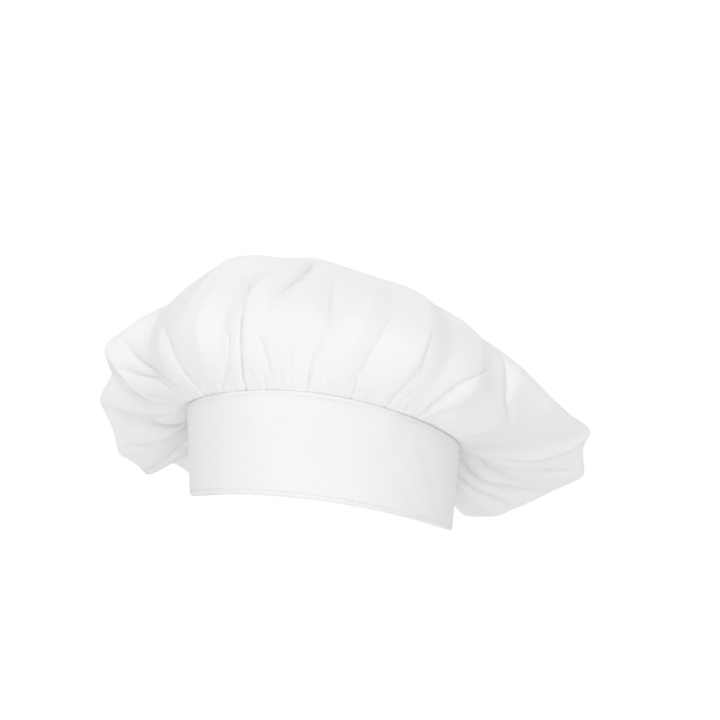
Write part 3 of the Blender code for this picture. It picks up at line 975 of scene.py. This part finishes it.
def build_label(looks):
    """Blank care label inside the band."""
    angles = np.linspace(*LABEL_SPAN, 41)
    share = np.linspace(0.0, 1.0, 31)
    face = -3 * LAYER
    heights = LABEL_LOW + (LABEL_HIGH - LABEL_LOW) * share
    profile = list(zip(heights, face - 0.0012 * (1.0 - share) ** 3))
    grid, uv = band_grid(angles, profile)
    piece = thick_sheet("care_label_satin", grid, uv, LABEL_CLOTH)
    finish_piece(piece, looks["satin"], "hat", "care_label")
    line_angles = np.linspace(LABEL_SPAN[0] + 0.6, LABEL_SPAN[1] - 0.6, 60)
    line = band_points(line_angles, LABEL_HIGH - TAPE_SEAM, face - 0.0003)
    piece = stitch_row("label_stitches", line, -band_normals(line_angles), pitch=0.0022, radius=0.0002)
    finish_piece(piece, looks["thread"], "hat", "label_stitching")


# ---- materials

def new_material(name, colour, roughness, sheen=0.0):
    """Principled material and its node tree."""
    made = bpy.data.materials.new(name)
    made.use_nodes = True
    shader = made.node_tree.nodes["Principled BSDF"]
    shader.inputs["Base Color"].default_value = (*colour, 1.0)
    shader.inputs["Roughness"].default_value = roughness
    shader.inputs["Sheen Weight"].default_value = sheen
    shader.inputs["Sheen Roughness"].default_value = 0.4
    return made, made.node_tree, shader


def new_node(tree, kind, inputs, **settings):
    """New shader node with its settings, and with inputs that are each a value or another node's output."""
    made = tree.nodes.new("ShaderNode" + kind)
    for name, value in settings.items():
        setattr(made, name, value)
    for name, value in inputs.items():
        if isinstance(value, bpy.types.NodeSocket):
            tree.links.new(value, made.inputs[name])
        else:
            made.inputs[name].default_value = value
    return made


def math_node(tree, operation, first, second=0.0):
    """Result of a math node from one or two inputs."""
    return new_node(tree, "Math", {0: first, 1: second}, operation=operation).outputs[0]


def noise(tree, scale, detail):
    """Noise texture's value in object space."""
    place = new_node(tree, "TexCoord", {}).outputs["Object"]
    return new_node(tree, "TexNoise", {"Vector": place, "Scale": scale, "Detail": detail}).outputs["Fac"]


def cloth_place(tree):
    """The two cloth coordinates, in mm."""
    uv = new_node(tree, "UVMap", {}, uv_map="cloth").outputs["UV"]
    split = new_node(tree, "SeparateXYZ", {0: uv})
    return split.outputs["X"], split.outputs["Y"]


def sine(tree, value, length):
    """Sine of a value that has this wavelength."""
    return math_node(tree, "SINE", math_node(tree, "MULTIPLY", value, 2.0 * math.pi / length))


def weave_height(tree, pitch):
    """Plain weave from the cloth coordinates: threads over and under, pitch in mm."""
    warp, weft = (sine(tree, value, pitch) for value in cloth_place(tree))
    return math_node(tree, "MULTIPLY", warp, weft)


def tinted(tree, shader, colour, darkest, factor):
    """Base colour that varies between a darker tone, at factor 0, and the colour."""
    dark = (*(part * darkest for part in colour), 1.0)
    mix = new_node(tree, "Mix", {"Factor": factor, "A": dark, "B": (*colour, 1.0)}, data_type="RGBA")
    tree.links.new(mix.outputs["Result"], shader.inputs["Base Color"])


def bumped(tree, shader, height, strength, distance):
    """Bump from a height on the shader's normal."""
    bump = new_node(tree, "Bump", {"Height": height, "Strength": strength, "Distance": distance})
    tree.links.new(bump.outputs["Normal"], shader.inputs["Normal"])


def cotton(name, colour):
    """White cotton: a fine weave, slubs, a faint unevenness of tone, and painted shade where the weave's
    threads dip.
    """
    made, tree, shader = new_material(name, colour, 0.86, 0.12)
    weave = weave_height(tree, WEAVE_PITCH)
    crumple = math_node(tree, "MULTIPLY", noise(tree, 160.0, 2.0), 1.6)
    slub = noise(tree, 900.0, 3.0)
    height = math_node(tree, "ADD", math_node(tree, "MULTIPLY", weave, 0.5), slub)
    height = math_node(tree, "ADD", height, crumple)
    bumped(tree, shader, height, 0.35, 0.00012)
    tone = noise(tree, 60.0, 4.0)
    # Base colour: random tone plus painted shade, darker where the weave's threads dip.
    shade = math_node(tree, "ADD", math_node(tree, "MULTIPLY", weave, 0.12), tone)
    tinted(tree, shader, colour, 0.965, shade)
    return made


def felt(name, colour):
    """Non-woven stiffener: matted short fibres."""
    made, tree, shader = new_material(name, colour, 0.95)
    fibres = noise(tree, 1600.0, 5.0)
    bumped(tree, shader, fibres, 0.5, 0.0002)
    tinted(tree, shader, colour, 0.9, fibres)
    return made


def spun_thread(name, colour):
    """Twisted sewing thread, with painted shade in the grooves of its twist."""
    made, tree, shader = new_material(name, colour, 0.6, 0.2)
    along, across = cloth_place(tree)
    slant = math_node(tree, "ADD", along, math_node(tree, "MULTIPLY", across, 1.2))
    twist = sine(tree, slant, THREAD_TWIST)
    bumped(tree, shader, twist, 0.4, 0.00006)
    # Painted shade: the colour darkens in the grooves of the twist.
    tinted(tree, shader, colour, 0.93, twist)
    return made


def nylon(name, colour, roughness, sheen):
    """Hook or loop tape: fine nylon with a slight unevenness."""
    made, tree, shader = new_material(name, colour, roughness, sheen)
    grain = noise(tree, 1200.0, 2.0)
    bumped(tree, shader, grain, 0.3, 0.0001)
    tinted(tree, shader, colour, 0.94, grain)
    return made


def satin(name, colour):
    """Woven satin label: fine ribs with painted shade between them, and a soft sheen."""
    made, tree, shader = new_material(name, colour, 0.38, 0.3)
    ribs = weave_height(tree, RIB_PITCH)
    bumped(tree, shader, ribs, 0.2, 0.00005)
    # Painted shade: the colour darkens between the ribs.
    tinted(tree, shader, colour, 0.96, ribs)
    return made


# ---- stage, lights and camera

def build_floor():
    """Pale floor well below the hat. It gives the hat no light of its own."""
    level = CAD_BOX[0].z - FLOOR_DROP
    size = FLOOR_HALF_SIZE
    corners = [(-size, -size, level), (size, -size, level), (size, size, level), (-size, size, level)]
    floor = mesh_object("floor", corners, [(0, 1, 2, 3)], np.zeros((4, 2)))
    pale, _, shader = new_material("pale_floor", (0.9, 0.9, 0.9), 1.0)
    shader.inputs["Emission Color"].default_value = (1.0, 1.0, 1.0, 1.0)
    shader.inputs["Emission Strength"].default_value = FLOOR_GLOW
    floor.data.materials.append(pale)
    floor.visible_diffuse = False


def build_surround():
    """White surround. The light it gives grows from below the hat to above it."""
    world = bpy.data.worlds.new("surround")
    world.use_nodes = True
    bpy.context.scene.world = world
    tree = world.node_tree
    place = new_node(tree, "TexCoord", {}).outputs["Generated"]
    height = new_node(tree, "SeparateXYZ", {0: place}).outputs["Z"]
    span = {"From Min": -1.0, "To Min": AMBIENT_BELOW, "To Max": AMBIENT_ABOVE}
    light = new_node(tree, "MapRange", {"Value": height, **span}).outputs["Result"]
    seen = new_node(tree, "LightPath", {}).outputs["Is Camera Ray"]
    level = new_node(tree, "Mix", {"Factor": seen, "A": light, "B": 1.0}).outputs["Result"]
    sky = tree.nodes["Background"]
    sky.inputs["Color"].default_value = (1.0, 1.0, 1.0, 1.0)
    tree.links.new(level, sky.inputs["Strength"])


def add_light(name, place, size, power):
    """Square area light aimed at the middle of the hat."""
    light = bpy.data.lights.new(name, "AREA")
    light.size = size
    light.energy = power
    made = new_object(name, light)
    made.location = place
    made.rotation_mode = "QUATERNION"
    made.rotation_quaternion = (LIGHT_TARGET - Vector(place)).to_track_quat("-Z", "Y")


def build_camera():
    """Camera at its place in front of the hat."""
    camera = bpy.data.cameras.new("camera")
    camera.sensor_width = 36.0
    camera.lens = FOCAL_LENGTH
    camera.clip_end = 100.0
    made = new_object("camera", camera)
    place = around(CAMERA_ANGLE) * CAMERA_DISTANCE + UP * CAMERA_HEIGHT
    heading = Matrix.Rotation(math.radians(CAMERA_ANGLE - CAMERA_TURN), 4, "Z")
    tilt = Matrix.Rotation(math.radians(90.0 + CAMERA_PITCH), 4, "X")
    roll = Matrix.Rotation(math.radians(CAMERA_ROLL), 4, "Z")
    made.matrix_world = Matrix.Translation(place) @ heading @ tilt @ roll
    bpy.context.scene.camera = made
    return made


def build_lights(camera):
    """Key above the camera, a low fill under it, a weak one on its right, and a weak back light."""
    view = camera.matrix_world
    add_light("key", view @ Vector((-0.15, 0.7, -0.05)), 0.8, 2.5)
    add_light("back", (-0.5, 0.9, 0.55), 0.5, 0.8)
    add_light("fill", view @ Vector((0.75, 0.05, -0.2)), 0.6, 0.4)
    add_light("low_fill", view @ Vector((-0.1, -0.55, 0.1)), 0.6, 2.5)


def main():
    """Build everything around the CAD frame."""
    looks = {
        "crown": cotton("crown_cotton", [0.87] * 3),
        "band": cotton("band_cotton", [0.86] * 3),
        "tab": cotton("tab_cotton", [0.86] * 3),
        "lining": cotton("lining_cotton", [0.84] * 3),
        "stiffener": felt("stiffener_felt", (0.80, 0.80, 0.78)),
        "thread": spun_thread("sewing_thread", [0.88] * 3),
        "loop": nylon("loop_nylon", [0.84] * 3, 0.95, 0.4),
        "hook": nylon("hook_nylon", [0.88] * 3, 0.4, 0.0),
        "satin": satin("label_satin", [0.9] * 3),
    }
    build_crown(looks["crown"])
    build_band(looks)
    band_stitches("band_top_stitches", BAND_HEIGHT - EDGE_INSET, "band_top_stitching", looks["thread"])
    band_stitches("band_hem_stitches", EDGE_INSET, "band_hem_stitching", looks["thread"])
    build_closure(looks)
    build_label(looks)
    build_floor()
    build_surround()
    build_lights(build_camera())
    bpy.context.scene.view_settings.view_transform = "Standard"


main()
